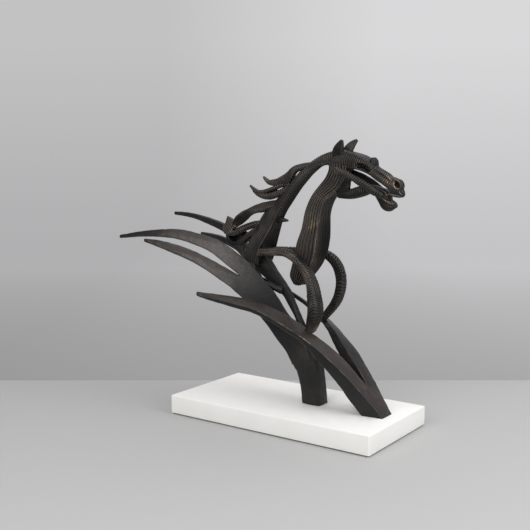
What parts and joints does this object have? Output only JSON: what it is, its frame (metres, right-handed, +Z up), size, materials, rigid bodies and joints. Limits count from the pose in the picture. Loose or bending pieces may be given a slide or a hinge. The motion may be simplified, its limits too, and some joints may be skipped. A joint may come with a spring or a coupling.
{
  "type": "horse statue",
  "caption": "Bronze horse statue: ribbed head, neck, chest and curled forelegs over sweeping blades on two feet, bolted to a flat white rectangular plinth.",
  "frame": {"origin": "middle of the underside of the felt, on the surface that the statue stands on", "axes": "+X along the plinth's long side towards the muzzle, +Y towards the horse's left side, +Z up"},
  "size_m": [0.4133, 0.15, 0.363],
  "materials": {
    "bronze_satin": "dark patinated bronze, satin, edges rubbed to gold-brown",
    "bronze_ribbed": "dark patinated bronze, ribbed, crests rubbed to gold-brown",
    "plinth_white": "matte white lacquered cast stone",
    "felt": "black wool felt",
    "fastener_steel": "zinc-plated steel"
  },
  "bodies": {
    "root": {"plinth": "plinth_white", "base_felt": "felt", "foot_bolts": "fastener_steel", "foot_washers": "fastener_steel", "rear_stem": "bronze_satin", "spine_strut": "bronze_satin", "near_haunch": "bronze_satin", "near_upper_blade": "bronze_satin", "near_lower_blade": "bronze_satin", "far_haunch": "bronze_satin", "far_upper_blade": "bronze_satin", "far_lower_blade": "bronze_satin", "front_stem": "bronze_satin", "near_front_blade": "bronze_satin", "far_front_blade": "bronze_satin", "haunch_bridge": "bronze_satin", "neck_crest": "bronze_ribbed", "chest": "bronze_ribbed", "near_foreleg": "bronze_ribbed", "far_foreleg": "bronze_ribbed", "skull": "bronze_ribbed", "lower_jaw": "bronze_ribbed", "near_cheek": "bronze_ribbed", "far_cheek": "bronze_ribbed", "near_jowl": "bronze_ribbed", "far_jowl": "bronze_ribbed", "near_brow": "bronze_ribbed", "far_brow": "bronze_ribbed", "near_ear": "bronze_ribbed", "far_ear": "bronze_ribbed", "mane_lock_1": "bronze_ribbed", "mane_lock_2": "bronze_ribbed", "mane_lock_3": "bronze_ribbed", "mane_lock_4": "bronze_ribbed", "mane_lock_5": "bronze_ribbed", "neck_barb": "bronze_ribbed"}
  },
  "joints": []
}
